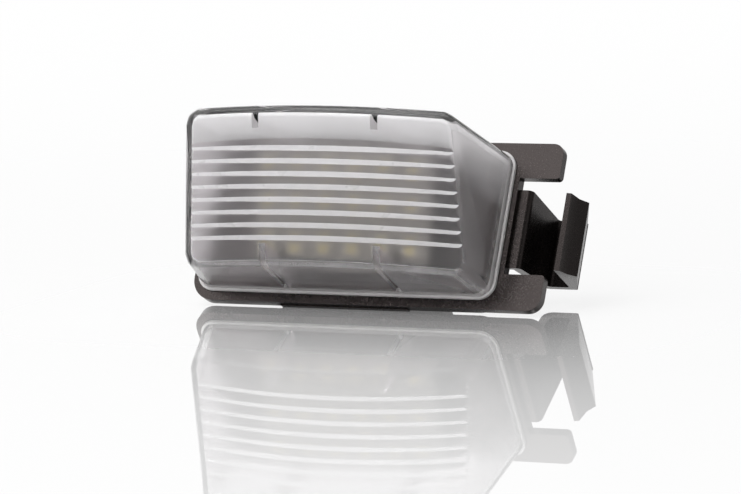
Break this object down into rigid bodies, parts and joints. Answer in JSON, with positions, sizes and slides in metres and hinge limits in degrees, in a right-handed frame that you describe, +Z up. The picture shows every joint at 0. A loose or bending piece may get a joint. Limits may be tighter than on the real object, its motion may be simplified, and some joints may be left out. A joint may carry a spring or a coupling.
{
  "type": "number plate lamp",
  "caption": "Snap-in rear number plate lamp: clear wedge lens with prism ribs over surface-mount LEDs, black flanged housing with spring latch.",
  "frame": {"origin": "middle of the flange's rear plane, the plane that bears on the panel, centred on the lens", "axes": "+X along the lamp towards the spring latch, -Y towards the lens face, +Z up; the lamp leans back as it rests on its land and collar"},
  "size_m": [0.0859, 0.0442, 0.0447],
  "materials": {
    "housing_plastic": "satin moulded, fine grain",
    "lens_plastic": "clear, with prism ribs inside",
    "seal_bead": "cured bead",
    "board_laminate": "white solder mask",
    "component_black": "moulded package",
    "terminal_brass": "stamped",
    "led_package": "white package with yellow phosphor well"
  },
  "bodies": {
    "root": {"housing": "housing_plastic", "lens": "lens_plastic", "lens_seal": "seal_bead", "led_board": "board_laminate", "polarity_diode": "component_black", "resistor_1": "component_black", "resistor_2": "component_black", "resistor_3": "component_black", "resistor_4": "component_black", "resistor_5": "component_black", "resistor_6": "component_black", "terminal_left": "terminal_brass", "terminal_right": "terminal_brass", "led_1": "led_package", "led_2": "led_package", "led_3": "led_package", "led_4": "led_package", "led_5": "led_package", "led_6": "led_package", "led_7": "led_package", "led_8": "led_package", "led_9": "led_package", "led_10": "led_package", "led_11": "led_package", "led_12": "led_package", "led_13": "led_package", "led_14": "led_package", "led_15": "led_package", "led_16": "led_package", "led_17": "led_package", "led_18": "led_package"}
  },
  "joints": []
}
